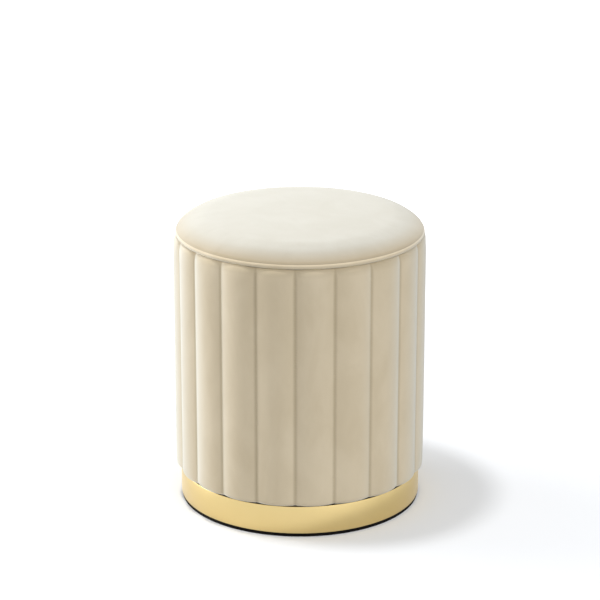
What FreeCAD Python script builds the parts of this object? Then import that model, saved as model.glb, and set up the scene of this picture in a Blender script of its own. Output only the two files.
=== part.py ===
import FreeCAD, Part
import Sketcher
import math
import os

# Round channelled ottoman: a padded drum on a banded plinth, in millimetres, standing on z = 0.

# Driving dimensions: alias, value, what it measures
SIZES = [
    ("drum_diameter", "400", "over the crowns of opposite channels"),
    ("side_height", "388", "side cover, from the plinth up to the piped seam"),
    ("channel_count", "20", "sewn channels round the side"),
    ("channel_depth", "5.2", "crown to seam, along a radius, on the straight wall"),
    ("channel_end_depth", "4.0", "crown to seam at both ends of the cover"),
    ("channel_shoulder", "10", "radius of a channel beside its seam"),
    ("seam_slope", "50", "angle at which a channel runs into its seam, in degrees"),
    ("cover_thick", "1.2", "velvet with its backing"),
    ("cover_bottom_roll", "8", "radius of the cover where it turns under the drum"),
    ("cover_top_roll", "16", "radius of the cover where it draws in to the piping"),
    ("cover_top_draw", "5", "how far the cover draws in at the piping"),
    ("cover_tuck", "14", "cover under the bottom board, in from the board's rim"),
    ("side_foam_thick", "14", "foam between drum skin and cover, at a crown"),
    ("skin_thick", "3", "hardboard round the frame"),
    ("skin_seam", "1", "gap of the butt seam in the drum skin"),
    ("cord_diameter", "5.6", "piping cord"),
    ("piping_inset", "7.5", "middle of the piping inside the channel crowns"),
    ("piping_tail", "5.5", "sewing allowance of the piping"),
    ("pad_edge_radius", "12", "seat pad where it leaves the piping"),
    ("pad_shoulder_radius", "60", "seat pad between edge and crown"),
    ("pad_crown_radius", "2500", "seat pad in the middle"),
    ("pad_rise", "27.5", "top of the seat pad above its edge"),
    ("wadding_thick", "6", "soft layer under the top cover"),
    ("seat_foam_side", "39.6", "seat foam from the seat board up to the piping's tail"),
    ("seat_board_thick", "15", "plywood under the seat foam"),
    ("bottom_board_thick", "15", "plywood under the frame posts"),
    ("post_depth", "22", "frame post, along a radius"),
    ("post_width", "40", "frame post, along the drum skin"),
    ("mid_ring_thick", "12", "plywood ring half way up the posts"),
    ("mid_ring_width", "40", "mid ring, along a radius"),
    ("mid_ring_lift", "154", "mid ring above the bottom board"),
    ("band_inset", "7.5", "outer face of the metal band inside the channel crowns"),
    ("band_wall", "1.2", "metal band"),
    ("band_edge", "0.4", "rounding of the band's outer edges"),
    ("plinth_board", "15", "each of the plinth's plywood rings"),
    ("plinth_width", "60", "plinth, along a radius"),
    ("foot_thick", "5.4", "foot ring"),
    ("foot_inset", "1.2", "foot ring inside the band's outer face"),
    ("foot_width", "22", "foot ring, along a radius"),
    ("dust_cover_thick", "0.4", "cloth that closes the underside"),
    ("dust_cover_inset", "4", "edge of the dust cover inside the plinth's rim"),
    ("bolt_diameter", "6", "plinth bolt"),
    ("bolt_end", "0.6", "end of a plinth bolt above the bottom board"),
    ("bolt_head_diameter", "11", "head of a plinth bolt"),
    ("bolt_head_height", "4", "head of a plinth bolt"),
    ("washer_diameter", "14", "washer under a bolt head"),
    ("washer_thick", "1.2", "washer under a bolt head"),
    ("counterbore_diameter", "16", "recess for bolt head and washer"),
    ("counterbore_depth", "8", "recess for bolt head and washer"),
    ("tee_nut_flange", "19", "diameter of a tee nut's flange"),
    ("tee_nut_flange_thick", "1.2", "flange of a tee nut"),
    ("tee_nut_barrel", "8", "diameter of a tee nut's barrel"),
    ("tee_nut_depth", "10", "barrel of a tee nut, down into the board"),
    ("screw_diameter", "4", "shank of a post screw"),
    ("screw_head_diameter", "8", "countersunk head of a post screw"),
    ("screw_length", "45", "post screw"),
    ("screw_point", "4", "tapered point of a post screw"),
    ("staple_crown", "10", "length of a staple's bridge"),
    ("staple_wire", "0.6", "wire of a staple"),
    ("staple_leg", "8", "leg of a staple"),
    ("cover_staple_inset", "7", "staples of the side cover, in from the bottom board's rim"),
    ("dust_staple_inset", "10", "staples of the dust cover, out from the plinth's inner edge"),
    ("fit_gap", "0.1", "clearance all round a fastener or a notch"),
]

PLINTH_LAYERS = ["plinth_ring_lower", "plinth_ring_middle", "plinth_ring_upper"]
POST_COUNT = 6
BOLT_COUNT = 6
STAPLE_COUNT = 18
FIRST_POST_ANGLE = 30
ROLL_STEPS = 3
AXIS_MARK = 1

# Radii and heights that follow from the driving dimensions
DRUM_R = "(Sizes.drum_diameter / 2)"
SKIN_R = f"({DRUM_R} - Sizes.cover_thick - Sizes.side_foam_thick)"
BOARD_R = f"({SKIN_R} - Sizes.skin_thick)"
SCREW_CIRCLE_R = f"({BOARD_R} - Sizes.post_depth / 2)"
COVER_STAPLE_R = f"({BOARD_R} - Sizes.cover_staple_inset)"
BAND_R = f"({DRUM_R} - Sizes.band_inset)"
PLINTH_R = f"({BAND_R} - Sizes.band_wall)"
FOOT_R = f"({BAND_R} - Sizes.foot_inset)"
PLINTH_INNER_R = f"({PLINTH_R} - Sizes.plinth_width)"
BOLT_CIRCLE_R = f"({PLINTH_R} - Sizes.plinth_width / 2)"
DUST_STAPLE_R = f"({PLINTH_INNER_R} + Sizes.dust_staple_inset)"
CORD_R = "(Sizes.cord_diameter / 2)"
PIPING_R = f"({CORD_R} + Sizes.cover_thick)"
PIPING_RING_R = f"({DRUM_R} - Sizes.piping_inset)"
PAD_R = f"({PIPING_RING_R} - {PIPING_R})"

PLINTH_Z = "(Sizes.foot_thick + Sizes.dust_cover_thick)"
COVER_Z = f"({PLINTH_Z} + {len(PLINTH_LAYERS)} * Sizes.plinth_board)"
BOTTOM_BOARD_Z = f"({COVER_Z} + Sizes.cover_thick)"
POST_Z = f"({BOTTOM_BOARD_Z} + Sizes.bottom_board_thick)"
SEAM_Z = f"({COVER_Z} + Sizes.side_height)"
PIPING_Z = f"({SEAM_Z} + {PIPING_R})"
TAIL_Z = f"({PIPING_Z} - Sizes.cover_thick)"
SEAT_FOAM_Z = f"({TAIL_Z} - Sizes.seat_foam_side)"
SEAT_BOARD_Z = f"({SEAT_FOAM_Z} - Sizes.seat_board_thick)"
POST_LENGTH = f"({SEAT_BOARD_Z} - {POST_Z})"
PAD_Z = f"({PIPING_Z} + Sizes.cover_thick)"
PAD_TOP_Z = f"({PAD_Z} + Sizes.pad_rise)"

doc = FreeCAD.newDocument("ottoman")
sheet = doc.addObject("Spreadsheet::Sheet", "Sizes")
for row, (alias, value, words) in enumerate(SIZES, 1):
    sheet.set(f"A{row}", words)
    sheet.set(f"B{row}", value)
    sheet.setAlias(f"B{row}", alias)
doc.recompute()

Vector = FreeCAD.Vector
UP = Vector(0, 0, 1)


def number(expression):
    """Present value of an expression in the sheet's sizes."""
    return float(sheet.evalExpression(expression))


# Bodies, sketches and features

def new_body(label, level="0", turn=0):
    body = doc.addObject("PartDesign::Body", label)
    body.Label = label
    body.Placement = FreeCAD.Placement(Vector(), FreeCAD.Rotation(UP, turn))
    body.setExpression("Placement.Base.z", level)
    return body


def origin_feature(body, role):
    return next(item for item in body.Origin.OriginFeatures if item.Role == role)


def new_sketch(body, role, offset="0"):
    sketch = body.newObject("Sketcher::SketchObject", body.Name + "_sketch")
    sketch.AttachmentSupport = [(origin_feature(body, role), "")]
    sketch.MapMode = "FlatFace"
    sketch.setExpression("AttachmentOffset.Base.z", offset)
    return sketch


def dimension(sketch, expression, kind, *where):
    """Driving constraint whose value is bound to the sheet."""
    index = sketch.addConstraint(Sketcher.Constraint(kind, *where, number(expression)))
    sketch.setExpression(f"Constraints[{index}]", expression)


def fix_point(sketch, item, point, place):
    """Hold a point at a place given by two expressions; "0" holds it on that axis."""
    for kind, axis, expression in zip(("DistanceX", "DistanceY"), (-2, -1), place):
        if expression == "0":
            sketch.addConstraint(Sketcher.Constraint("PointOnObject", item, point, axis))
        else:
            dimension(sketch, expression, kind, -1, 1, item, point)


def draw_circle(sketch, radius, centre=("0", "0")):
    middle = Vector(number(centre[0]), number(centre[1]), 0)
    item = sketch.addGeometry(Part.Circle(middle, UP, number(radius)))
    dimension(sketch, radius, "Radius", item)
    fix_point(sketch, item, 3, centre)


def draw_outline(sketch, corners):
    """Closed outline with straight sides; each corner is a pair of expressions."""
    points = [Vector(number(x), number(y), 0) for x, y in corners]
    first = sketch.GeometryCount
    count = len(corners)
    for index in range(count):
        sketch.addGeometry(Part.LineSegment(points[index], points[(index + 1) % count]))
    for index in range(count):
        following = first + (index + 1) % count
        sketch.addConstraint(Sketcher.Constraint("Coincident", first + index, 2, following, 1))
        fix_point(sketch, first + index, 1, corners[index])


def add_feature(body, kind, sketch):
    feature = body.newObject("PartDesign::" + kind, f"{body.Name}_{kind.lower()}")
    feature.Profile = sketch
    return feature


def pad_ring(body, thickness, *radii):
    """Flat disc or ring between the given radii, from the body's own floor upward."""
    sketch = new_sketch(body, "XY_Plane")
    for radius in radii:
        draw_circle(sketch, radius)
    pad = add_feature(body, "Pad", sketch)
    pad.setExpression("Length", thickness)
    return pad


def spin_about_line(body, kind, plane, circle_radius, profile):
    """Turn a profile about the upright line at circle_radius; profile is (out, up) pairs."""
    sketch = new_sketch(body, plane)
    foot = Vector(number(circle_radius), 0, 0)
    axis = sketch.addGeometry(Part.LineSegment(foot, foot + Vector(0, AXIS_MARK, 0)), True)
    fix_point(sketch, axis, 1, (circle_radius, "0"))
    sketch.addConstraint(Sketcher.Constraint("Vertical", axis))
    sketch.addConstraint(Sketcher.Constraint("DistanceY", axis, 1, axis, 2, AXIS_MARK))
    draw_outline(sketch, [(f"({circle_radius} + {out})", up) for out, up in profile])
    feature = add_feature(body, kind, sketch)
    feature.ReferenceAxis = (sketch, ["Axis0"])
    feature.Angle = 360
    return feature


def repeat_round(body, feature, count):
    pattern = body.newObject("PartDesign::PolarPattern", body.Name + "_ring")
    pattern.Originals = [feature]
    pattern.Axis = (origin_feature(body, "Z_Axis"), [""])
    pattern.Angle = 360
    pattern.Occurrences = count
    body.Tip = pattern


def cut_through(body, sketch):
    pocket = add_feature(body, "Pocket", sketch)
    pocket.Type = "ThroughAll"
    pocket.Midplane = True
    return pocket


# Fastener outlines, shared by the fasteners and by the holes that take them

def screw_profile(level, direction, gap="0"):
    """Countersunk wood screw from the face of its head at level, pointing up (1) or down (-1)."""
    head = f"(Sizes.screw_head_diameter / 2 + {gap})"
    shank = f"(Sizes.screw_diameter / 2 + {gap})"
    tip = f"({level} + ({direction}) * (Sizes.screw_length + {gap}))"
    shoulder = f"({level} + ({direction}) * (Sizes.screw_length - Sizes.screw_point))"
    neck = f"({level} + ({direction}) * ({head} - {shank}))"
    return [("0", level), (head, level), (shank, neck), (shank, shoulder), ("0", tip)]


def straight_profile(radius, low, high, inner="0"):
    return [(inner, low), (radius, low), (radius, high), (inner, high)]


def staple_sketch(body, circle_radius, level):
    """Upright U of a staple, across the radius, legs up, its bridge from level."""
    sketch = new_sketch(body, "YZ_Plane", circle_radius)
    half = "(Sizes.staple_crown / 2)"
    bore = f"({half} - Sizes.staple_wire)"
    bridge = f"({level} + Sizes.staple_wire)"
    top = f"({level} + Sizes.staple_leg)"
    draw_outline(sketch, [
        (f"-{half}", level), (half, level), (half, top), (bore, top),
        (bore, bridge), (f"-{bore}", bridge), (f"-{bore}", top), (f"-{half}", top)])
    return sketch


def staple_features(body, kind, circle_radius, level):
    """Ring of staples added to a body, or the slots that they make in it."""
    feature = add_feature(body, kind, staple_sketch(body, circle_radius, level))
    feature.Midplane = True
    feature.setExpression("Length", "Sizes.staple_wire")
    repeat_round(body, feature, STAPLE_COUNT)


# Base: foot ring, dust cover, plinth and metal band

def make_foot_ring():
    body = new_body("foot_ring")
    pad_ring(body, "Sizes.foot_thick", FOOT_R, f"({FOOT_R} - Sizes.foot_width)")


def make_dust_cover():
    body = new_body("dust_cover", "Sizes.foot_thick")
    pad_ring(body, "Sizes.dust_cover_thick", f"({PLINTH_R} - Sizes.dust_cover_inset)")
    staple_features(body, "Pocket", DUST_STAPLE_R, "-Sizes.staple_wire")


def make_dust_cover_staples():
    body = new_body("dust_cover_staples", "Sizes.foot_thick")
    staple_features(body, "Pad", DUST_STAPLE_R, "-Sizes.staple_wire")


def make_plinth_ring(layer):
    """One plywood ring; the lowest also has the bolt recesses and the staple slots."""
    body = new_body(PLINTH_LAYERS[layer], f"({PLINTH_Z} + {layer} * Sizes.plinth_board)")
    pad_ring(body, "Sizes.plinth_board", PLINTH_R, PLINTH_INNER_R)
    hole = "(Sizes.bolt_diameter / 2 + Sizes.fit_gap)"
    profile = straight_profile(hole, "0", "Sizes.plinth_board")
    if layer == 0:
        recess = "(Sizes.counterbore_diameter / 2)"
        ceiling = "Sizes.counterbore_depth"
        profile[1:2] = [(recess, "0"), (recess, ceiling), (hole, ceiling)]
    repeat_round(body, spin_about_line(body, "Groove", "XZ_Plane", BOLT_CIRCLE_R, profile), BOLT_COUNT)
    if layer == 0:
        bridge = "-(Sizes.dust_cover_thick + Sizes.staple_wire)"
        staple_features(body, "Pocket", DUST_STAPLE_R, bridge)


def make_base_band():
    body = new_body("base_band", PLINTH_Z)
    height = f"({len(PLINTH_LAYERS)} * Sizes.plinth_board)"
    strip = pad_ring(body, height, BAND_R, PLINTH_R)
    doc.recompute()
    outer = [f"Edge{index}" for index, edge in enumerate(strip.Shape.Edges, 1)
             if isinstance(edge.Curve, Part.Circle) and edge.Curve.Radius > number(PLINTH_R) + 1e-6]
    rounding = body.newObject("PartDesign::Fillet", "base_band_edges")
    rounding.Base = (strip, outer)
    rounding.setExpression("Radius", "Sizes.band_edge")


def make_plinth_bolts():
    """Bolt heads sit in the recesses of the lowest ring, each on a washer."""
    seat = f"({PLINTH_Z} + Sizes.counterbore_depth)"
    body = new_body("bolt_washers", f"({seat} - Sizes.washer_thick)")
    bore = "(Sizes.bolt_diameter / 2 + Sizes.fit_gap)"
    profile = straight_profile("(Sizes.washer_diameter / 2)", "0", "Sizes.washer_thick", bore)
    repeat_round(body, spin_about_line(body, "Revolution", "XZ_Plane", BOLT_CIRCLE_R, profile), BOLT_COUNT)

    floor = f"({seat} - Sizes.washer_thick)"
    body = new_body("plinth_bolts", floor)
    end = f"({POST_Z} + Sizes.bolt_end - {floor})"
    head = "(Sizes.bolt_head_diameter / 2)"
    shank = "(Sizes.bolt_diameter / 2)"
    under = "-Sizes.bolt_head_height"
    profile = [("0", under), (head, under), (head, "0"), (shank, "0"),
               (shank, end), ("0", end)]
    repeat_round(body, spin_about_line(body, "Revolution", "XZ_Plane", BOLT_CIRCLE_R, profile), BOLT_COUNT)


def make_tee_nuts():
    """Flange on top of the bottom board, barrel down in it; the thread is left plain."""
    body = new_body("tee_nuts", POST_Z)
    bore = "(Sizes.bolt_diameter / 2)"
    barrel = "(Sizes.tee_nut_barrel / 2)"
    flange = "(Sizes.tee_nut_flange / 2)"
    low, high = "-Sizes.tee_nut_depth", "Sizes.tee_nut_flange_thick"
    profile = [(bore, low), (barrel, low), (barrel, "0"), (flange, "0"), (flange, high), (bore, high)]
    repeat_round(body, spin_about_line(body, "Revolution", "XZ_Plane", BOLT_CIRCLE_R, profile), BOLT_COUNT)


# Drum: boards, posts, mid ring, screws and skin

def make_bottom_board():
    body = new_body("bottom_board", BOTTOM_BOARD_Z)
    pad_ring(body, "Sizes.bottom_board_thick", BOARD_R)
    hole = straight_profile("(Sizes.tee_nut_barrel / 2 + Sizes.fit_gap)", "0", "Sizes.bottom_board_thick")
    repeat_round(body, spin_about_line(body, "Groove", "XZ_Plane", BOLT_CIRCLE_R, hole), BOLT_COUNT)
    seat = screw_profile("0", 1, "Sizes.fit_gap")
    repeat_round(body, spin_about_line(body, "Groove", "YZ_Plane", SCREW_CIRCLE_R, seat), POST_COUNT)
    staple_features(body, "Pocket", COVER_STAPLE_R, "-Sizes.cover_thick")


def make_seat_board():
    body = new_body("seat_board", SEAT_BOARD_Z)
    pad_ring(body, "Sizes.seat_board_thick", BOARD_R)
    seat = screw_profile("Sizes.seat_board_thick", -1, "Sizes.fit_gap")
    repeat_round(body, spin_about_line(body, "Groove", "YZ_Plane", SCREW_CIRCLE_R, seat), POST_COUNT)


def make_post_screws():
    for label, level, direction in (("lower_post_screws", BOTTOM_BOARD_Z, 1),
                                    ("upper_post_screws", SEAT_FOAM_Z, -1)):
        body = new_body(label, level)
        profile = screw_profile("0", direction)
        screw = spin_about_line(body, "Revolution", "YZ_Plane", SCREW_CIRCLE_R, profile)
        repeat_round(body, screw, POST_COUNT)


def make_post(index):
    """Timber with its outer face curved to the skin and a screw hole in each end."""
    body = new_body(f"frame_post_{index + 1}", POST_Z, FIRST_POST_ANGLE + index * 360 / POST_COUNT)
    sketch = new_sketch(body, "XY_Plane")
    outer, half = number(BOARD_R), number("Sizes.post_width / 2")
    back = f"({BOARD_R} - Sizes.post_depth)"
    swing = math.asin(half / outer)
    inner_low, inner_high = Vector(number(back), -half, 0), Vector(number(back), half, 0)
    face = sketch.addGeometry(Part.ArcOfCircle(Part.Circle(Vector(), UP, outer), -swing, swing))
    low, high = sketch.getPoint(face, 1), sketch.getPoint(face, 2)
    upper = sketch.addGeometry(Part.LineSegment(high, inner_high))
    rear = sketch.addGeometry(Part.LineSegment(inner_high, inner_low))
    lower = sketch.addGeometry(Part.LineSegment(inner_low, low))
    for first, second in ((face, upper), (upper, rear), (rear, lower), (lower, face)):
        sketch.addConstraint(Sketcher.Constraint("Coincident", first, 2, second, 1))
    sketch.addConstraint(Sketcher.Constraint("Coincident", face, 3, -1, 1))
    dimension(sketch, BOARD_R, "Radius", face)
    fix_point(sketch, rear, 1, (back, "(Sizes.post_width / 2)"))
    fix_point(sketch, rear, 2, (back, "-(Sizes.post_width / 2)"))
    for side in (upper, lower):
        sketch.addConstraint(Sketcher.Constraint("Horizontal", side))
    timber = add_feature(body, "Pad", sketch)
    timber.setExpression("Length", POST_LENGTH)
    for level, direction in (("-Sizes.bottom_board_thick", 1),
                             (f"({POST_LENGTH} + Sizes.seat_board_thick)", -1)):
        hole = screw_profile(level, direction, "Sizes.fit_gap")
        spin_about_line(body, "Groove", "XZ_Plane", SCREW_CIRCLE_R, hole)


def make_mid_ring():
    body = new_body("mid_ring", f"({POST_Z} + Sizes.mid_ring_lift)")
    pad_ring(body, "Sizes.mid_ring_thick", BOARD_R, f"({BOARD_R} - Sizes.mid_ring_width)")
    sketch = new_sketch(body, "XY_Plane")
    half = "(Sizes.post_width / 2 + Sizes.fit_gap)"
    floor = f"({BOARD_R} - Sizes.post_depth - Sizes.fit_gap)"
    outside = f"({BOARD_R} + Sizes.skin_thick)"
    draw_outline(sketch, [(f"-{half}", floor), (half, floor), (half, outside), (f"-{half}", outside)])
    repeat_round(body, cut_through(body, sketch), POST_COUNT)


def make_drum_skin():
    """Wrapped sheet; its ends meet over the rear post."""
    body = new_body("drum_skin", BOTTOM_BOARD_Z)
    pad_ring(body, f"({SEAT_FOAM_Z} - {BOTTOM_BOARD_Z})", SKIN_R, BOARD_R)
    sketch = new_sketch(body, "XY_Plane")
    half = "(Sizes.skin_seam / 2)"
    inside = f"({BOARD_R} - Sizes.skin_thick)"
    outside = f"({SKIN_R} + Sizes.skin_thick)"
    draw_outline(sketch, [(f"-{half}", inside), (half, inside), (half, outside), (f"-{half}", outside)])
    cut_through(body, sketch)


# Seat: foam, wadding, top cover and piping

def draw_pad_curve(sketch, inset):
    """Edge, shoulder and crown arcs of the seat pad, inset along their normals."""
    edge_r, shoulder_r, crown_r = (
        f"(Sizes.pad_{part}_radius - {inset})" for part in ("edge", "shoulder", "crown"))
    edge_centre = (f"({PAD_R} - Sizes.pad_edge_radius)", PAD_Z)
    top = f"({PAD_TOP_Z} - {inset})"
    edge_mid = Vector(number(edge_centre[0]), number(edge_centre[1]), 0)
    crown_mid = Vector(0, number(top) - number(crown_r), 0)
    near = number(shoulder_r) - number(edge_r)
    far = number(crown_r) - number(shoulder_r)
    span = edge_mid.distanceToPoint(crown_mid)
    spread = math.acos((near ** 2 + span ** 2 - far ** 2) / (2 * near * span))
    heading = math.atan2(crown_mid.y - edge_mid.y, crown_mid.x - edge_mid.x) - spread
    shoulder_mid = edge_mid + near * Vector(math.cos(heading), math.sin(heading), 0)
    edge_end = heading + math.pi
    crown_start = math.atan2(shoulder_mid.y - crown_mid.y, shoulder_mid.x - crown_mid.x)
    turns = [0, edge_end, crown_start, math.pi / 2]
    middles = [edge_mid, shoulder_mid, crown_mid]
    edge, shoulder, crown = [
        sketch.addGeometry(Part.ArcOfCircle(Part.Circle(middle, UP, number(radius)), start, end))
        for middle, radius, start, end in zip(middles, (edge_r, shoulder_r, crown_r), turns, turns[1:])]
    for arc, radius in ((edge, edge_r), (shoulder, shoulder_r), (crown, crown_r)):
        dimension(sketch, radius, "Radius", arc)
    fix_point(sketch, edge, 3, edge_centre)
    sketch.addConstraint(Sketcher.Constraint("Horizontal", edge, 1, edge, 3))
    sketch.addConstraint(Sketcher.Constraint("Tangent", edge, 2, shoulder, 1))
    sketch.addConstraint(Sketcher.Constraint("Tangent", shoulder, 2, crown, 1))
    sketch.addConstraint(Sketcher.Constraint("PointOnObject", crown, 3, -2))
    fix_point(sketch, crown, 2, ("0", top))
    return edge, crown


def join_points(sketch, first, second):
    """Straight line between two points that are already held; each is an (item, point) pair."""
    ends = [sketch.getPoint(*first), sketch.getPoint(*second)]
    line = sketch.addGeometry(Part.LineSegment(*ends))
    sketch.addConstraint(Sketcher.Constraint("Coincident", line, 1, *first))
    sketch.addConstraint(Sketcher.Constraint("Coincident", line, 2, *second))
    return line


def spin_about_drum_axis(body, sketch):
    revolution = add_feature(body, "Revolution", sketch)
    revolution.ReferenceAxis = (sketch, ["V_Axis"])
    revolution.Angle = 360


def make_pad_layer(label, outer_inset, inner_inset):
    """Crowned layer of even thickness over the seat foam."""
    body = new_body(label)
    sketch = new_sketch(body, "XZ_Plane")
    outer_edge, outer_crown = draw_pad_curve(sketch, outer_inset)
    inner_edge, inner_crown = draw_pad_curve(sketch, inner_inset)
    join_points(sketch, (outer_edge, 1), (inner_edge, 1))
    join_points(sketch, (outer_crown, 2), (inner_crown, 2))
    spin_about_drum_axis(body, sketch)


def make_seat_foam(inset):
    """Foam disc with a crowned top and a step that clears the piping's sewing allowance."""
    body = new_body("seat_foam")
    sketch = new_sketch(body, "XZ_Plane")
    edge, crown = draw_pad_curve(sketch, inset)
    rim = f"({PAD_R} - {inset})"
    corners = [(rim, PAD_Z), (rim, TAIL_Z), (SKIN_R, TAIL_Z), (SKIN_R, SEAT_FOAM_Z), ("0", SEAT_FOAM_Z)]
    points = [Vector(number(x), number(y), 0) for x, y in corners]
    before = (edge, 1)
    for start, end, corner in zip(points, points[1:], corners[1:]):
        line = sketch.addGeometry(Part.LineSegment(start, end))
        sketch.addConstraint(Sketcher.Constraint("Coincident", line, 1, *before))
        fix_point(sketch, line, 2, corner)
        before = (line, 2)
    join_points(sketch, before, (crown, 2))
    spin_about_drum_axis(body, sketch)


def make_piping_cover():
    """Velvet strip folded round the cord, its two edges lying together as a flat tail."""
    body = new_body("piping_cover")
    sketch = new_sketch(body, "XZ_Plane")
    middle = Vector(number(PIPING_RING_R), number(PIPING_Z), 0)
    radius, half = number(PIPING_R), number("Sizes.cover_thick")
    lean = math.asin(half / radius)
    round_cord = Part.ArcOfCircle(Part.Circle(middle, UP, radius), math.pi + lean, 3 * math.pi - lean)
    tube = sketch.addGeometry(round_cord)
    low, high = sketch.getPoint(tube, 1), sketch.getPoint(tube, 2)
    end_r = f"({PAD_R} - Sizes.piping_tail)"
    tail_low, tail_high = Vector(number(end_r), low.y, 0), Vector(number(end_r), high.y, 0)
    above = sketch.addGeometry(Part.LineSegment(high, tail_high))
    end = sketch.addGeometry(Part.LineSegment(tail_high, tail_low))
    below = sketch.addGeometry(Part.LineSegment(tail_low, low))
    for first, second in ((tube, above), (above, end), (end, below), (below, tube)):
        sketch.addConstraint(Sketcher.Constraint("Coincident", first, 2, second, 1))
    for line in (above, below):
        sketch.addConstraint(Sketcher.Constraint("Horizontal", line))
    fix_point(sketch, tube, 3, (PIPING_RING_R, PIPING_Z))
    dimension(sketch, PIPING_R, "Radius", tube)
    fix_point(sketch, end, 1, (end_r, PAD_Z))
    fix_point(sketch, end, 2, (end_r, TAIL_Z))
    draw_circle(sketch, CORD_R, (PIPING_RING_R, PIPING_Z))
    spin_about_drum_axis(body, sketch)


def make_piping_cord():
    cord = doc.addObject("Part::Torus", "piping_cord")
    cord.Label = "piping_cord"
    cord.setExpression("Radius1", PIPING_RING_R)
    cord.setExpression("Radius2", CORD_R)
    cord.setExpression("Placement.Base.z", PIPING_Z)


# Side: channelled cover, the foam under it and the staples that hold it

def channel_ring(level, crown, depth, inset):
    """Closed ring of channels at one height: each is a crown arc between two shoulder arcs."""
    count = round(number("Sizes.channel_count"))
    half = math.pi / count
    shoulder = number("Sizes.channel_shoulder") - inset
    tilt = math.radians(number("Sizes.seam_slope")) * depth / number("Sizes.channel_depth")
    seam = crown - depth
    across = seam * math.sin(half) - shoulder * math.sin(tilt)
    drop = crown - seam * math.cos(half) - shoulder * (1 - math.cos(tilt))
    bend = 2 * math.atan(drop / across)
    arch = shoulder + across / math.sin(bend)
    middle = (bend + tilt) / 2
    base = crown - arch + (arch - shoulder) * math.cos(bend)
    joint = (arch * math.sin(bend), crown - arch * (1 - math.cos(bend)))
    swell = (joint[0] + shoulder * (math.sin(middle) - math.sin(bend)), base + shoulder * math.cos(middle))
    valley = (seam * math.sin(half), seam * math.cos(half))
    edges = []
    for index in range(count):
        angle = (2 * index + 1) * half
        out = Vector(math.cos(angle), math.sin(angle), 0)
        side = Vector(-math.sin(angle), math.cos(angle), 0)
        stops = [(-valley[0], valley[1]), (-swell[0], swell[1]), (-joint[0], joint[1]), (0, crown),
                 joint, swell, valley]
        points = [out * y + side * x + UP * level for x, y in stops]
        edges += [Part.Arc(*points[start:start + 3]).toShape() for start in (0, 2, 4)]
    return Part.Wire(edges)


def channelled_solid(inset):
    """Whole inside of the side cover's outer face, or of that face set in by inset."""
    drum_r = number(DRUM_R)
    depth, end_depth = number("Sizes.channel_depth"), number("Sizes.channel_end_depth")
    low_roll, high_roll = number("Sizes.cover_bottom_roll"), number("Sizes.cover_top_roll")
    reach = math.sqrt(high_roll ** 2 - (high_roll - number("Sizes.cover_top_draw")) ** 2)
    high_turn = math.asin(reach / (high_roll - inset))
    low_level, high_level = number(COVER_Z) + low_roll, number(SEAM_Z) - reach
    rings = []
    for roll, level, turn, order in ((low_roll, low_level, -math.pi / 2, range(ROLL_STEPS, -1, -1)),
                                     (high_roll, high_level, high_turn, range(ROLL_STEPS + 1))):
        for step in order:
            share = step / ROLL_STEPS
            angle = turn * share
            crown = drum_r - roll + (roll - inset) * math.cos(angle)
            height = level + (roll - inset) * math.sin(angle)
            rings.append(channel_ring(height, crown, depth + (end_depth - depth) * share ** 2, inset))
    return Part.makeLoft(rings, True, True)


def add_shape(label, shape):
    feature = doc.addObject("Part::Feature", label)
    feature.Label = label
    feature.Shape = shape
    feature.Placement = FreeCAD.Placement()


def make_cover_staples():
    body = new_body("cover_staples", COVER_Z)
    staple_features(body, "Pad", COVER_STAPLE_R, "0")
    doc.recompute()
    return body


def make_side(staples):
    """Velvet sleeve in channels, turned under at the bottom, over foam of the same form."""
    inside = channelled_solid(number("Sizes.cover_thick"))
    floor = Vector(0, 0, number(COVER_Z))
    height = number("Sizes.side_height")
    opening = Part.makeCylinder(number(f"{BOARD_R} - Sizes.cover_tuck"), height, floor)
    cover = channelled_solid(0).cut(inside).cut(opening).cut(staples.Shape)
    add_shape("side_cover", cover)
    drum = Part.makeCylinder(number(SKIN_R), height, floor)
    add_shape("side_foam", inside.cut(drum))


def make_all():
    make_foot_ring()
    make_dust_cover()
    make_dust_cover_staples()
    for layer in range(len(PLINTH_LAYERS)):
        make_plinth_ring(layer)
    make_base_band()
    make_plinth_bolts()
    make_tee_nuts()
    make_bottom_board()
    for index in range(POST_COUNT):
        make_post(index)
    make_mid_ring()
    make_seat_board()
    make_post_screws()
    make_drum_skin()
    make_side(make_cover_staples())
    foam_inset = "(Sizes.cover_thick + Sizes.wadding_thick)"
    make_seat_foam(foam_inset)
    make_pad_layer("seat_wadding", "Sizes.cover_thick", foam_inset)
    make_pad_layer("top_cover", "0", "Sizes.cover_thick")
    make_piping_cord()
    make_piping_cover()
    doc.recompute()


def write_parts():
    """Check every object, then write one file for each sub-part."""
    for item in doc.Objects:
        if "Invalid" in item.State or "Error" in item.State:
            raise RuntimeError(f"{item.Label} did not compute: {item.State}")
    os.makedirs("parts", exist_ok=True)
    kinds = ("PartDesign::Body", "Part::Feature", "Part::Torus")
    for item in [item for item in doc.Objects if item.TypeId in kinds]:
        if item.Shape.isNull() or not item.Shape.isValid():
            raise RuntimeError(f"{item.Label} has no valid shape")
        item.Shape.exportStep(os.path.join("parts", item.Label + ".step"))
        print(f"{item.Label}: {len(item.Shape.Solids)} solid(s), {item.Shape.Volume / 1000:.2f} cm3")


make_all()
write_parts()
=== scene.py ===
import math

import bmesh
import bpy
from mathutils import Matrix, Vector, noise


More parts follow.
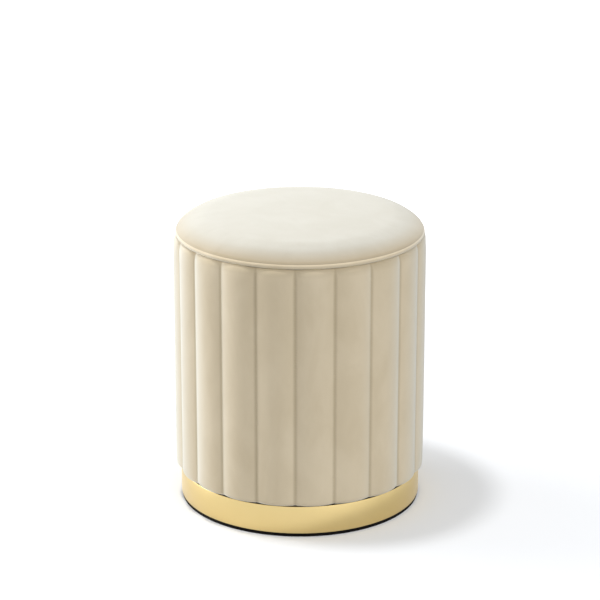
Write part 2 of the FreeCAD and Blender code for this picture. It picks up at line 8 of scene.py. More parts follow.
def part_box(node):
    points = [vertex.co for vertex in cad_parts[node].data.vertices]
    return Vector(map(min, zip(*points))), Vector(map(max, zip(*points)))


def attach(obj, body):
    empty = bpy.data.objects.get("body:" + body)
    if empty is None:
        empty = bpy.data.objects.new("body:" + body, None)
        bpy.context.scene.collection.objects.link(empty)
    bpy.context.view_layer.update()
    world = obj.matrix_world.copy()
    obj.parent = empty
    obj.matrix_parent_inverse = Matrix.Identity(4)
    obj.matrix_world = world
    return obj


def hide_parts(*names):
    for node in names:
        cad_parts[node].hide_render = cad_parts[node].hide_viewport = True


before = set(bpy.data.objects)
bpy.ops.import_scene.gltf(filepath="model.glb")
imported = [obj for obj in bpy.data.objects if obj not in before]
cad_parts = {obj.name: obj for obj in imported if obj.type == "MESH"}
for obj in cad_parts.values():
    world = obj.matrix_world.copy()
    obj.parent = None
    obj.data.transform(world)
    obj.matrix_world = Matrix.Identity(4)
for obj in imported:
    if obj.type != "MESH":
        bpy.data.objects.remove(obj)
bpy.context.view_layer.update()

# Sizes in metres, where the boxes of the parts in model.glb don't give them
DRUM_RADIUS = 0.200            # over the crowns of the channels
CHANNELS = 20
CHANNEL_DEPTH = 0.0052         # crown to seam on the straight wall
CHANNEL_END_DEPTH = 0.0040     # crown to seam at both ends of the cover
SHOULDER_RADIUS = 0.010        # of a channel beside its seam
SEAM_SLOPE = math.radians(50)
SEAM_WIDTH = 0.0050            # strip of cover that is pulled into a seam
SEAM_PINCH = 0.0008            # how far the sewing pulls it in
SEAM_SHADE = 0.0052            # how far the painted shade beside a seam reaches
SEAM_END_SHADE_FULL = 0.0022           # up to this height over the cover's lower end a seam gets its painted shade in full
SEAM_END_SHADE_END = 0.0038            # from this height on it gets none
STITCH = 0.0042                # length of a stitch
COVER_THICKNESS = 0.0010
BOTTOM_ROLL = 0.008            # radius of the side cover where it turns under
TOP_ROLL = 0.016               # radius where it is drawn in to the piping
TOP_DRAW = 0.005               # how far it is drawn in there
BOTTOM_TUCK = 0.006            # flap that goes in over the base band
TOP_TUCK = 0.004               # flap that goes in under the piping
SIDE_SWELL = 0.0008            # the most that the stuffing pushes the channels out
SIDE_PRESSURE = 40
PAD_SWELL = 0.0012             # the most that it pushes the seat pad up
PAD_PRESSURE = 40
UNEVEN = 0.0005                # how much the channels differ in fullness
PAD_OVERHANG = 0.0070          # how far the stuffed pad bulges out over the piping
PAD_SAG = 0.0015               # how far it hangs down on it
PAD_EDGE_RADIUS = 0.012
PAD_CREASE = 0.0005            # rows beside the crease that keep it tight
PAD_SHOULDER_RADIUS = 0.045
PAD_CROWN_RADIUS = 2.5
PAD_UNDERSIDE = 0.97           # share of the rim's radius that the grid below the pad takes
PIPING_RADIUS = 0.004
PIPING_TAIL = 2.4              # piping radii from its middle to the end of its sewn edge
PIPING_JOIN = 0.86             # how tight the strip is where its ends are sewn together
BAND_WALL = 0.0012
BAND_EDGE = 0.0004             # rounding of the band's rims
BAND_JOINT = 0.0006            # gap where the band's ends meet
COVER_GAP = 0.0007             # between the side cover and the base band
CLEARANCE = 0.0002             # between a modelled piece and its neighbour
PLY_PAIR = 0.003               # two layers of plywood
TOUCH = 1e-6                   # places nearer than this count as one

PITCH = 2 * math.pi / CHANNELS
COLUMNS = 6                    # columns of the wall's cage across one channel
WALL_ROWS = 18                 # rows of the cage on the straight wall
PAD_STEPS = 200                # columns round the seat pad
PAD_PATCH_RADIUS = 0.060       # round patch of plain grid in the middle of the pad
CREASE_ROW = 2                 # row of the pad that lies in the crease over the piping
PIPING_STEPS = 360             # columns round the piping
PIPING_SIDES = 20
BAND_STEPS = 320               # columns round the base band
CLOTH_STEPS = 20               # frames of the cloth simulation

# Camera of the photograph, its picture 600 by 600
CAMERA_DISTANCE = 3.651
CAMERA_HEIGHT = 1.5642
CAMERA_PITCH = math.radians(18.75)
CAMERA_TURN = math.radians(2.2)
FOCAL_LENGTH = 145.36
SENSOR_WIDTH = 36

BODY = "root"


class Socket:
    """An output of a shader node. Arithmetic on it adds Math nodes."""

    def __init__(self, finish, output):
        self.finish = finish
        self.output = output

    def __add__(self, other):
        return self.finish.math("ADD", self, other)

    def __sub__(self, other):
        return self.finish.math("SUBTRACT", self, other)

    def __rsub__(self, other):
        return self.finish.math("SUBTRACT", other, self)

    def __mul__(self, other):
        return self.finish.math("MULTIPLY", self, other)

    __radd__ = __add__
    __rmul__ = __mul__


class Finish:
    """The shader of a material, or of the world, under construction."""

    def __init__(self, name, kind="materials"):
        self.owner = getattr(bpy.data, kind).new(name)
        self.owner.use_nodes = True
        self.tree = self.owner.node_tree
        self.tree.nodes.clear()

    def node(self, kind, settings=None, inputs=None, out=0):
        made = self.tree.nodes.new("ShaderNode" + kind)
        for name, value in (settings or {}).items():
            setattr(made, name, value)
        for name, value in (inputs or {}).items():
            if isinstance(value, Socket):
                self.tree.links.new(value.output, made.inputs[name])
            else:
                made.inputs[name].default_value = value
        return Socket(self, made.outputs[out]) if made.outputs else None

    def math(self, operation, first, second=0.0):
        return self.node("Math", {"operation": operation}, {0: first, 1: second})

    def place(self):
        return self.node("TexCoord", out="Object")

    def axes(self, place):
        split = self.node("SeparateXYZ", inputs={0: place})
        return [Socket(self, output) for output in split.output.node.outputs]

    def stretched(self, place, scale):
        return self.node("Mapping", {"vector_type": "POINT"}, {"Vector": place, "Scale": scale})

    def noise(self, place, scale, detail=2.0, roughness=0.5, distortion=0.0):
        return self.node("TexNoise", inputs={"Vector": place, "Scale": scale, "Detail": detail,
                                             "Roughness": roughness, "Distortion": distortion})

    def span(self, value, low, high, to_low=0.0, to_high=1.0):
        return self.node("MapRange", {"interpolation_type": "SMOOTHSTEP"},
                         {0: value, 1: low, 2: high, 3: to_low, 4: to_high})

    def mix(self, share, first, second):
        return self.node("Mix", {"data_type": "RGBA"}, {0: share, 6: first, 7: second}, out=2)

    def bump(self, height, distance, strength=1.0):
        return self.node("Bump", inputs={"Height": height, "Distance": distance, "Strength": strength})

    def surface(self, **inputs):
        named = {name.replace("_", " "): value for name, value in inputs.items()}
        shader = self.node("BsdfPrincipled", inputs=named)
        self.node("OutputMaterial", inputs={"Surface": shader})
        return self.owner

    def shown(self):
        """1 where the camera sees a surface, straight or in a mirror or glass."""
        path = self.node("LightPath").output.node.outputs
        camera, glossy, through = (
            Socket(self, path[f"Is {ray} Ray"]) for ray in ("Camera", "Glossy", "Transmission"))
        return self.math("MAXIMUM", camera, self.math("MAXIMUM", glossy, through))


def colour(red, green, blue):
    """A colour written in 0 to 255 as on a screen, as the shader's linear values."""
    def linear(level):
        share = level / 255
        return share / 12.92 if share <= 0.04045 else ((share + 0.055) / 1.055) ** 2.4
    return (linear(red), linear(green), linear(blue), 1.0)


# Finishes

WALL_TONES = (213, 198, 169), (225, 211, 184)
# painted shade: the seat pad's edge tones are darker than the wall's
SHADED_EDGE_TONES = (180, 166, 140), (190, 176, 151)
# painted light: the seat pad's top tones are paler, as lit from above and with sheen
LIT_TOP_TONES = (191, 187, 175), (199, 196, 186)
SEAM_SHADE_TONE = (158, 142, 112)
SEAM_END_SHADE_TONE = (62, 50, 36)
# painted sheen: the tone the velvet pales to where it is seen at a grazing angle
SHEEN_TONE = (228, 226, 214)
SEAM_SHADE_SHARE = 0.45           # share of the painted seam shade in a seam
UNDER_PIPING_SHADE_SHARE = 0.36         # share of the same painted shade under the piping
LIT_TOP_FROM = 0.64              # upward part of the normal where the painted light of the top starts


def velvet(name, brushing, tones, sheen_share, level=None, ends=None):
    """Short-pile cream velvet with brushed clouds in its nap and a painted sheen at grazing views. It can
    have painted shade at its edge and painted light where it faces up, stitches and painted shade along
    the seams of the channels, and painted shade under the piping and at the seams' lower ends."""
    finish = Finish(name)
    place = finish.place()
    x, y, z = finish.axes(place)
    brushed = finish.stretched(place, brushing)
    clouds = finish.noise(brushed, 14, detail=3, roughness=0.5, distortion=0.8)
    strokes = finish.noise(brushed, 60, detail=3, roughness=0.6, distortion=0.5)
    pile = finish.noise(place, 1500, detail=2, roughness=0.6)
    nap = finish.span(clouds * 0.68 + strokes * 0.20 + pile * 0.12, 0.25, 0.75)
    cloth = finish.mix(nap, *(colour(*tone) for tone in tones))
    relief = pile * 0.3
    # painted light: the cloth is paler where its normal points up
    if level:
        lit_top_cloth = finish.mix(nap, *(colour(*tone) for tone in level))
        facing = finish.axes(finish.node("NewGeometry", out="Normal"))[2]
        cloth = finish.mix(finish.span(facing, LIT_TOP_FROM, 1.0), cloth, lit_top_cloth)
    if ends:
        bottom, top = ends
        # painted shade in the creases: the cloth is darkened beside each seam and under the piping
        along = finish.math("FRACT", finish.math("ARCTAN2", y, x) * (1 / PITCH))
        off_crown = finish.math("ABSOLUTE", along - 0.5)
        crease = finish.span(off_crown, 0.5 - SEAM_SHADE / (PITCH * DRUM_RADIUS), 0.5)
        # painted shade: darker in the crease where the cover is drawn in under the piping
        under_piping = finish.span(z, top - TOP_ROLL, top)
        painted_shade = finish.math("MAXIMUM", crease * SEAM_SHADE_SHARE, under_piping * UNDER_PIPING_SHADE_SHARE)
        cloth = finish.mix(painted_shade, cloth, colour(*SEAM_SHADE_TONE))
        # painted shade: a dark spot at the lower end of each seam, where the gap under the cover lies in
        # shade
        lowest = finish.span(z, bottom + SEAM_END_SHADE_FULL, bottom + SEAM_END_SHADE_END, 1.0, 0.0)
        seam_end_shade = finish.span(crease, 0.35, 0.75) * lowest
        relief = relief + crease * finish.math("SINE", z * (2 * math.pi / STITCH)) * 0.3
    # painted sheen: the colour pales towards the sheen tone where the cloth is seen at a grazing angle
    grazing_view = finish.node("LayerWeight", inputs={"Blend": 0.5}, out="Facing")
    cloth = finish.mix(finish.span(grazing_view, 0.2, 0.95) * sheen_share, cloth, colour(*SHEEN_TONE))
    # the painted shade at the seam ends goes on over the painted sheen
    if ends:
        cloth = finish.mix(seam_end_shade, cloth, colour(*SEAM_END_SHADE_TONE))
    return finish.surface(Base_Color=cloth, Roughness=nap * -0.08 + 0.92, Specular_IOR_Level=0.15,
                          Normal=finish.bump(relief, 0.0003), Sheen_Weight=sheen_share * 0.9,
                          Sheen_Roughness=0.4, Sheen_Tint=(0.95, 0.98, 1.0, 1.0))


def gold_metal():
    """Satin gold plating, faintly brushed along the band."""
    finish = Finish("gold_metal")
    place = finish.place()
    x, y, z = finish.axes(place)
    along = finish.math("ARCTAN2", y, x)
    unrolled = finish.node("CombineXYZ", inputs={0: along * 1.2, 1: 0.0, 2: z * 420})
    brushing = finish.noise(unrolled, 1.0, detail=2, roughness=0.5)
    smudges = finish.noise(place, 14, detail=2, roughness=0.5, distortion=0.6)
    tone = finish.mix(smudges, colour(219, 194, 134), colour(224, 200, 142))
    rough = brushing * 0.03 + smudges * 0.04 + 0.26
    return finish.surface(Base_Color=tone, Metallic=1.0, Roughness=rough)


def black_foot():
    """Matt black moulded ring that the drum stands on."""
    finish = Finish("black_foot")
    place = finish.place()
    grain = finish.noise(place, 900, detail=2)
    scuffs = finish.noise(place, 60, detail=3, distortion=1.0)
    tone = finish.mix(scuffs, colour(8, 6, 5), colour(16, 13, 12))
    return finish.surface(Base_Color=tone, Roughness=scuffs * 0.15 + 0.75,
                          Normal=finish.bump(grain, 0.0002, 0.3), Specular_IOR_Level=0.12)


def dust_cloth():
    """Thin black bonded cloth with its pressed dots."""
    finish = Finish("dust_cloth")
    place = finish.place()
    dots = finish.node("TexVoronoi", {"feature": "F1"}, {"Vector": place, "Scale": 700})
    fibres = finish.noise(place, 2200, detail=3)
    pressed = finish.span(dots, 0.15, 0.4)
    tone = finish.mix(pressed, colour(16, 16, 17), colour(38, 38, 40))
    return finish.surface(Base_Color=tone, Roughness=0.9, Specular_IOR_Level=0.2,
                          Normal=finish.bump(pressed * 0.7 + fibres * 0.3, 0.0002, 0.6))


def plywood(name, faces, edge):
    """Plywood: long grain on the faces and layered edges."""
    finish = Finish(name)
    place = finish.place()
    level = finish.axes(place)[2]
    along = finish.stretched(place, (6, 90, 90))
    grain = finish.noise(along, 1.0, detail=4, roughness=0.6, distortion=0.4)
    layers = finish.span(finish.math("SINE", level * (2 * math.pi / PLY_PAIR)), -0.3, 0.3)
    face = finish.mix(grain, *(colour(*tone) for tone in faces))
    tone = finish.mix(layers * 0.35, face, colour(*edge))
    return finish.surface(Base_Color=tone, Roughness=0.7, Normal=finish.bump(grain, 0.0003, 0.4))


def timber():
    """Planed softwood with upright grain."""
    finish = Finish("timber")
    place = finish.place()
    upright = finish.stretched(place, (160, 160, 8))
    rings = finish.noise(upright, 1.0, detail=4, roughness=0.55, distortion=1.2)
    pores = finish.noise(finish.stretched(place, (1400, 1400, 40)), 1.0, detail=2)
    tone = finish.mix(rings * 0.8 + pores * 0.2, colour(176, 132, 84), colour(222, 186, 132))
    return finish.surface(Base_Color=tone, Roughness=0.68,
                          Normal=finish.bump(rings * 0.6 + pores * 0.4, 0.0003, 0.5))


def hardboard():
    """Thin brown fibre board."""
    finish = Finish("hardboard")
    place = finish.place()
    fibres = finish.noise(place, 420, detail=4, roughness=0.7)
    tone = finish.mix(fibres, colour(96, 62, 38), colour(140, 98, 62))
    return finish.surface(Base_Color=tone, Roughness=0.75, Normal=finish.bump(fibres, 0.0002, 0.5))


def foam():
    """Open-cell upholstery foam."""
    finish = Finish("foam")
    place = finish.place()
    cells = finish.node("TexVoronoi", {"feature": "F1"}, {"Vector": place, "Scale": 900})
    patches = finish.noise(place, 30, detail=3)
    tone = finish.mix(cells * 0.5 + patches * 0.5, colour(206, 190, 130), colour(238, 226, 176))
    return finish.surface(Base_Color=tone, Roughness=0.95, Normal=finish.bump(cells, 0.0006, 0.8))


def wadding():
    """White polyester wadding with loose fibres."""
    finish = Finish("wadding")
    place = finish.place()
    fibres = finish.noise(place, 500, detail=5, roughness=0.7, distortion=2.0)
    tone = finish.mix(fibres, colour(216, 216, 212), colour(246, 246, 244))
    return finish.surface(Base_Color=tone, Roughness=0.95, Normal=finish.bump(fibres, 0.0008, 0.7))


def cotton_cord():
    """Twisted cotton cord inside the piping."""
    finish = Finish("cotton_cord")
    place = finish.place()
    x, y, z = finish.axes(place)
    along = finish.math("ARCTAN2", y, x)
    twist = finish.math("SINE", along * 700 + z * 1800)
    fibres = finish.noise(place, 1800, detail=3)
    tone = finish.mix(twist * 0.3 + fibres * 0.4 + 0.15, colour(206, 198, 180), colour(240, 235, 222))
    return finish.surface(Base_Color=tone, Roughness=0.9,
                          Normal=finish.bump(twist * 0.5 + fibres * 0.3, 0.0005, 0.7))


def zinc_steel():
    """Bright zinc plating with its crystalline patches."""
    finish = Finish("zinc_steel")
    place = finish.place()
    patches = finish.node("TexVoronoi", {"feature": "F1"}, {"Vector": place, "Scale": 420})
    stains = finish.noise(place, 160, detail=3)
    tone = finish.mix(patches * 0.5 + stains * 0.5, colour(150, 152, 156), colour(204, 206, 210))
    return finish.surface(Base_Color=tone, Metallic=1.0, Roughness=stains * 0.15 + 0.28,
                          Normal=finish.bump(patches, 0.00004, 0.4))


def staple_wire():
    """Drawn steel wire."""
    finish = Finish("staple_wire")
    place = finish.place()
    draws = finish.noise(place, 2600, detail=2)
    tone = finish.mix(draws, colour(132, 134, 138), colour(186, 188, 192))
    return finish.surface(Base_Color=tone, Metallic=1.0, Roughness=draws * 0.1 + 0.32,
                          Normal=finish.bump(draws, 0.00002, 0.4))


# Modelling by hand

def begin(piece):
    bpy.ops.object.select_all(action="DESELECT")
    piece.select_set(True)
    bpy.context.view_layer.objects.active = piece


def new_piece(name, add, **settings):
    """A primitive at its size and place, ready to be shaped, with its place in its mesh."""
    bpy.ops.object.select_all(action="DESELECT")
    add(**settings)
    piece = bpy.context.object
    piece.name = name
    piece.data.name = name
    bpy.ops.object.transform_apply(location=True, rotation=True, scale=True)
    return piece


def pick(piece, wanted, mode="VERT"):
    """Selects the vertices, edges or faces whose middle passes the test, in edit mode."""
    bpy.ops.mesh.select_mode(type=mode)
    bpy.ops.mesh.select_all(action="DESELECT")
    shape = bmesh.from_edit_mesh(piece.data)
    kinds = {"VERT": shape.verts, "EDGE": shape.edges, "FACE": shape.faces}
    for part in kinds[mode]:
        corners = [part] if mode == "VERT" else part.verts
        if all(wanted(corner.co) for corner in corners):
            part.select_set(True)
    bmesh.update_edit_mesh(piece.data)


def apply_modifier(piece, kind, **settings):
    begin(piece)
    modifier = piece.modifiers.new(kind.lower(), kind)
    for name, value in settings.items():
        setattr(modifier, name, value)
    bpy.ops.object.modifier_apply(modifier=modifier.name)


def subdivide(piece):
    apply_modifier(piece, "SUBSURF", levels=1, render_levels=1)


def outward(place):
    return Vector((place.x, place.y, 0)).normalized()


def swell(piece, free, pressure, limit):
    """Lets the free part of a cover swell over its stuffing as cloth, no further than the limit there."""
    begin(piece)
    places = [vertex.co.copy() for vertex in piece.data.vertices]
    pins = piece.vertex_groups.new(name="held")
    pins.add([vertex.index for vertex in piece.data.vertices if not free(vertex)], 1.0, "REPLACE")
    cloth = piece.modifiers.new("swell", "CLOTH")
    cloth.settings.vertex_group_mass = pins.name
    cloth.settings.use_pressure = True
    cloth.settings.uniform_pressure_force = pressure
    cloth.settings.effector_weights.gravity = 0
    for step in range(1, CLOTH_STEPS + 1):
        bpy.context.scene.frame_set(step)
    bpy.ops.object.modifier_apply(modifier=cloth.name)
    bpy.context.scene.frame_set(1)
    piece.vertex_groups.clear()
    for vertex, place in zip(piece.data.vertices, places):
        move = vertex.co - place
        furthest = limit(place)
        if move.length > furthest:
            vertex.co = place + move * (furthest / move.length)


def wear(piece, node, finish):
    """Gives a modelled piece its finish and lets it stand for its CAD node."""
    piece.data.materials.clear()
    piece.data.materials.append(finish)
    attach(piece, BODY)
    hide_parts(node)


# The channelled side

def reach(turn, middle_x, middle_y, radius):
    """How far out a ray at an angle from the channel's middle leaves a circle."""
    ahead = middle_x * math.sin(turn) + middle_y * math.cos(turn)
    return ahead + math.sqrt(radius ** 2 - middle_x ** 2 - middle_y ** 2 + ahead ** 2)


def channel_radius(turn, crown, depth, inset=0.0):
    """Radius of the channelled wall at an angle. A seam lies on every whole pitch."""
    off = abs((turn / PITCH) % 1 - 0.5) * PITCH
    shoulder = SHOULDER_RADIUS - inset
    tilt = SEAM_SLOPE * depth / CHANNEL_DEPTH
    seam = crown - depth
    across = seam * math.sin(PITCH / 2) - shoulder * math.sin(tilt)
    drop = crown - seam * math.cos(PITCH / 2) - shoulder * (1 - math.cos(tilt))
    bend = 2 * math.atan2(drop, across)
    arch = shoulder + across / math.sin(bend)
    over_crown = reach(off, 0.0, crown - arch, arch)
    if over_crown * math.sin(off) <= arch * math.sin(bend):
        return over_crown
    inward = arch - shoulder
    return reach(off, inward * math.sin(bend), crown - arch + inward * math.cos(bend), shoulder)


def wall_rows(low, high):
    """Level, crown radius, channel depth and inset of each row: up the outside, then down the inside."""
    top_turn = math.acos(1 - TOP_DRAW / TOP_ROLL)
    top_middle = high - TOP_ROLL * math.sin(top_turn)
    bottom_middle = low + BOTTOM_ROLL

    def ending(share):
        return CHANNEL_DEPTH + (CHANNEL_END_DEPTH - CHANNEL_DEPTH) * share ** 2

    def bottom_roll(share, inset):
        turn = share * math.pi / 2
        crown = DRUM_RADIUS - BOTTOM_ROLL + (BOTTOM_ROLL - inset) * math.cos(turn)
        return bottom_middle - (BOTTOM_ROLL - inset) * math.sin(turn), crown, ending(share), inset

    def top_roll(share, inset):
        turn = share * top_turn
        crown = DRUM_RADIUS - TOP_ROLL + (TOP_ROLL - inset) * math.cos(turn)
        return top_middle + (TOP_ROLL - inset) * math.sin(turn), crown, ending(share), inset

    def flap(row, inward, rise):
        level, crown, depth, inset = row
        return level + rise, crown - inward, depth, inset

    step = (top_middle - bottom_middle) / WALL_ROWS
    thick = COVER_THICKNESS
    rows = [flap(bottom_roll(1, 0), BOTTOM_TUCK, 0)]
    rows += [bottom_roll(share, 0) for share in (1, 0.72, 0.45, 0.2)]
    rows += [(bottom_middle + step * row, DRUM_RADIUS, CHANNEL_DEPTH, 0) for row in range(WALL_ROWS + 1)]
    rows += [top_roll(share, 0) for share in (0.4, 0.75, 1)]
    rows += [flap(top_roll(1, 0), TOP_TUCK, -thick / 2), flap(top_roll(1, thick), TOP_TUCK, -thick / 2)]
    rows += [top_roll(share, thick) for share in (0.9, 0)]
    rows += [bottom_roll(share, thick) for share in (0, 0.45, 0.95)]
    rows += [flap(bottom_roll(1, thick), BOTTOM_TUCK, 0)]
    return rows


def seam_column(place):
    """How many columns of the cage lie between a place and the nearest seam."""
    along = (math.atan2(place.y, place.x) / PITCH) % 1 * COLUMNS
    return min(along, COLUMNS - along)


def on_seam(place):
    return seam_column(place) < 0.02


def off_seam(place):
    return seam_column(place) * PITCH / COLUMNS * DRUM_RADIUS


def near_seam(place):
    return off_seam(place) < SEAM_WIDTH * 0.2


def on_channel(vertex):
    """Whether a point is on the outside of a channel, away from its seams and ends."""
    return off_seam(vertex.co) > SEAM_WIDTH and vertex.normal.dot(outward(vertex.co)) > 0.5


def fill_unevenly(piece):
    """Makes the channels a little fuller and slacker by turns, as when they are stuffed by hand."""
    for vertex in piece.data.vertices:
        if on_channel(vertex):
            channel = math.atan2(vertex.co.y, vertex.co.x) // PITCH
            fullness = noise.noise(Vector((channel * 3.7, 0.5, vertex.co.z * 9)))
            vertex.co += outward(vertex.co) * (fullness + 1) * UNEVEN / 2


def shape_row(piece, before, row):
    """Scales each column of the row that was just extruded to its place on the channels."""
    shape = bmesh.from_edit_mesh(piece.data)
    ring = [vertex.index for vertex in shape.verts if vertex.select]
    for column in range(COLUMNS // 2 + 1):
        shape = bmesh.from_edit_mesh(piece.data)
        shape.verts.ensure_lookup_table()
        bpy.ops.mesh.select_all(action="DESELECT")
        for index in ring:
            vertex = shape.verts[index]
            if abs(seam_column(vertex.co) - column) < 0.1:
                vertex.select_set(True)
        shape.select_flush_mode()
        turn = column * PITCH / COLUMNS
        grow = channel_radius(turn, *row[1:]) / (channel_radius(turn, *before[1:]) if before else 1.0)
        bpy.ops.transform.resize(value=(grow, grow, 1), center_override=(0, 0, 0))
    shape = bmesh.from_edit_mesh(piece.data)
    shape.verts.ensure_lookup_table()
    for index in ring:
        shape.verts[index].select_set(True)
    shape.select_flush_mode()


def make_channelled_side(finish):
    """Velvet sleeve of twenty padded channels, turned under at the base and drawn in to the piping."""
    low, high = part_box("side_cover")
    rows = wall_rows(low.z + COVER_GAP, high.z)
    side = new_piece("channelled_side", bpy.ops.mesh.primitive_circle_add,
                     vertices=CHANNELS * COLUMNS, radius=1, location=(0, 0, rows[0][0]))
    bpy.ops.object.mode_set(mode="EDIT")
    bpy.ops.mesh.select_all(action="SELECT")
    shape_row(side, None, rows[0])
    for before, row in zip(rows, rows[1:]):
        bpy.ops.mesh.extrude_region_move(TRANSFORM_OT_translate={"value": (0, 0, row[0] - before[0])})
        shape_row(side, before, row)
    bpy.ops.mesh.select_mode(type="EDGE")
    bpy.ops.mesh.select_all(action="DESELECT")
    bpy.ops.mesh.select_non_manifold()
    bpy.ops.mesh.bridge_edge_loops()
    bpy.ops.mesh.select_all(action="SELECT")
    bpy.ops.mesh.normals_make_consistent(inside=False)
    pick(side, on_seam, "EDGE")
    bpy.ops.mesh.bevel(offset=SEAM_WIDTH / 2, segments=2, affect="EDGES")
    pick(side, lambda place: near_seam(place) and place.z > rows[0][0] + BOTTOM_ROLL)
    pinch = 1 - SEAM_PINCH / DRUM_RADIUS
    bpy.ops.transform.resize(value=(pinch, pinch, 1), center_override=(0, 0, 0))
    bpy.ops.object.mode_set(mode="OBJECT")
    subdivide(side)
    fill_unevenly(side)
    swell(side, on_channel, SIDE_PRESSURE, lambda place: SIDE_SWELL)
    subdivide(side)
    begin(side)
    bpy.ops.object.shade_smooth()
    wear(side, "side_cover", finish)


# The seat pad

def piping_middle():
    """Radius and level of the middle of the piping."""
    low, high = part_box("piping_cover")
    return Vector((high.x - PIPING_RADIUS, (low.z + high.z) / 2))


def pad_rows(rim, low, high):
    """Radius and level of each row of the seat pad, from its hidden edge up to the crown."""
    edge = Vector((rim + PAD_OVERHANG - PAD_EDGE_RADIUS, low - PAD_SAG))
    to_piping = piping_middle() - edge
    meeting = (PAD_EDGE_RADIUS ** 2 + to_piping.length_squared - (PIPING_RADIUS + CLEARANCE) ** 2)
    edge_start = math.atan2(to_piping.y, to_piping.x) + math.acos(
        meeting / (2 * PAD_EDGE_RADIUS * to_piping.length))
    crown = Vector((0, high - PAD_CROWN_RADIUS))
    near = PAD_SHOULDER_RADIUS - PAD_EDGE_RADIUS
    far = PAD_CROWN_RADIUS - PAD_SHOULDER_RADIUS
    apart = (crown - edge).length
    spread = math.acos((near ** 2 + apart ** 2 - far ** 2) / (2 * near * apart))
    heading = math.atan2(crown.y - edge.y, crown.x - edge.x) - spread
    shoulder = edge + near * Vector((math.cos(heading), math.sin(heading)))
    edge_end = heading + math.pi
    crown_start = math.atan2(shoulder.y - crown.y, shoulder.x - crown.x)
    crown_end = math.acos(PAD_PATCH_RADIUS / PAD_CROWN_RADIUS)
    crease = edge + PAD_EDGE_RADIUS * Vector((math.cos(edge_start), math.sin(edge_start)))
    hidden = Vector((rim, low))
    beside = crease + (hidden - crease).normalized() * PAD_CREASE
    rows = [tuple(place) for place in (hidden, beside, crease)]
    edge_start += PAD_CREASE / PAD_EDGE_RADIUS
    for middle, radius, start, end, steps in (
            (edge, PAD_EDGE_RADIUS, edge_start, edge_end, 6),
            (shoulder, PAD_SHOULDER_RADIUS, edge_end, crown_start, 8),
            (crown, PAD_CROWN_RADIUS, crown_start, crown_end, 11)):
        for step in range(steps):
            turn = start + (end - start) * step / steps
            rows.append((middle.x + radius * math.cos(turn), middle.y + radius * math.sin(turn)))
    return rows


def make_seat_pad(finish):
    """Crowned round velvet seat over its stuffing."""
    low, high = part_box("top_cover")
    rim = high.x
    edge = low.z + CLEARANCE
    rows = pad_rows(rim, edge, high.z)
    pad = new_piece("seat_pad", bpy.ops.mesh.primitive_circle_add,
                    vertices=PAD_STEPS, radius=rim, location=(0, 0, rows[0][1]))
    bpy.ops.object.mode_set(mode="EDIT")
    bpy.ops.mesh.select_all(action="SELECT")
    for (radius, level), (next_radius, next_level) in zip(rows, rows[1:]):
        bpy.ops.mesh.extrude_region_move(TRANSFORM_OT_translate={"value": (0, 0, next_level - level)})
        shrink = next_radius / radius
        bpy.ops.transform.resize(value=(shrink, shrink, 1), center_override=(0, 0, 0))
    bpy.ops.mesh.fill_grid(span=PAD_STEPS // 4, use_interp_simple=True)
    pick(pad, lambda place: place.z < rows[0][1] + TOUCH, "EDGE")
    bpy.ops.mesh.extrude_region_move()
    bpy.ops.transform.resize(value=(PAD_UNDERSIDE, PAD_UNDERSIDE, 1), center_override=(0, 0, 0))
    bpy.ops.mesh.fill_grid(span=PAD_STEPS // 4, use_interp_simple=True)
    bpy.ops.mesh.select_all(action="SELECT")
    bpy.ops.mesh.normals_make_consistent(inside=False)
    bpy.ops.object.mode_set(mode="OBJECT")
    crease = rows[CREASE_ROW][1]
    swell(pad, lambda vertex: vertex.co.z > crease + TOUCH, PAD_PRESSURE,
          lambda place: PAD_SWELL * min(1, max(0, place.z - crease) / PAD_EDGE_RADIUS))
    subdivide(pad)
    begin(pad)
    bpy.ops.object.shade_smooth()
    wear(pad, "top_cover", finish)


# Piping and base band

def make_piping(finish):
    """Velvet strip sewn round a cord, with the sewn edge running in under the seat pad."""
    centre, level = piping_middle()
    piping = new_piece("piping", bpy.ops.mesh.primitive_torus_add,
                       major_segments=PIPING_STEPS, minor_segments=PIPING_SIDES,
                       major_radius=centre, minor_radius=PIPING_RADIUS, location=(0, 0, level))
    bpy.ops.object.mode_set(mode="EDIT")
    pick(piping, lambda place: math.hypot(place.x, place.y) < centre - PIPING_RADIUS * 0.9
         and abs(place.z - level) < PIPING_RADIUS * 0.4, "FACE")
    bpy.ops.mesh.extrude_region_move()
    inward = (centre - PIPING_RADIUS * PIPING_TAIL) / (centre - PIPING_RADIUS)
    bpy.ops.transform.resize(value=(inward, inward, 1), center_override=(0, 0, 0))
    pick(piping, lambda place: place.y > 0 and abs(place.x) < PIPING_RADIUS * 0.1)
    bpy.ops.transform.resize(value=(1, PIPING_JOIN, PIPING_JOIN), center_override=(0, centre, level))
    bpy.ops.object.mode_set(mode="OBJECT")
    begin(piping)
    bpy.ops.object.shade_smooth()
    wear(piping, "piping_cover", finish)


